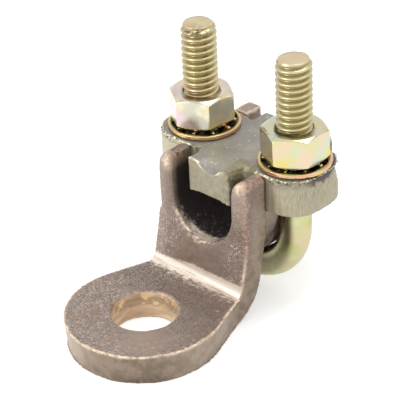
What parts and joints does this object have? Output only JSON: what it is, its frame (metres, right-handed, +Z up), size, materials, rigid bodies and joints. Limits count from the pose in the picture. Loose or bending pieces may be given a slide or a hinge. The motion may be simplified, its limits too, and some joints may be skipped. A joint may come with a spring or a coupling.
{
  "type": "u-bolt clamp cable lug",
  "caption": "Cast cable lug with a flat stud palm and a horned trough, in which a cast clamp piece is pulled down on the cable by a U-bolt with hex nuts and toothed washers.",
  "frame": {"origin": "centre of the stud hole on the underside of the palm", "axes": "+Z up, along the stud hole; +Y from the stud hole towards the upright and the cable trough, along the cable; +X across, towards one leg of the U-bolt"},
  "size_m": [0.0432, 0.0653, 0.0575],
  "materials": {
    "cast_bronze": "sand-cast bronze, brown and speckled, with ground side faces",
    "clamp_bronze": "sand-cast bronze, yellow-grey, ground flat on top, with a bright burr",
    "yellow_zinc_rod": "zinc-plated and yellow-passivated steel with a green tinge",
    "yellow_zinc_nut": "zinc-plated and yellow-passivated steel, bright, with pastel patches",
    "yellow_zinc_washer": "zinc-plated and yellow-passivated spring steel"
  },
  "bodies": {
    "lug": {"lug_body": "cast_bronze", "u_bolt": "yellow_zinc_rod"},
    "clamp": {"clamp_saddle": "clamp_bronze", "lock_washer_left": "yellow_zinc_washer", "lock_washer_right": "yellow_zinc_washer"},
    "nut_left": {"hex_nut_left": "yellow_zinc_nut"},
    "nut_right": {"hex_nut_right": "yellow_zinc_nut"}
  },
  "joints": [
    {"name": "clamp_lift", "type": "slide", "parent": "lug", "child": "clamp", "axis": [0, 0, 1], "range_m": [0, 0.014]},
    {"name": "nut_left_turn", "type": "hinge", "parent": "clamp", "child": "nut_left", "pos_m": [-0.0135, 0.034, 0.038], "axis": [0, 0, 1], "range_deg": [0, 3600]},
    {"name": "nut_right_turn", "type": "hinge", "parent": "clamp", "child": "nut_right", "pos_m": [0.0135, 0.034, 0.038], "axis": [0, 0, 1], "range_deg": [0, 3600]}
  ],
  "couplings": [
    {"joint": "nut_left_turn", "follows": "clamp_lift", "rad_per_m": 4188.8},
    {"joint": "nut_right_turn", "follows": "clamp_lift", "rad_per_m": 4188.8}
  ]
}
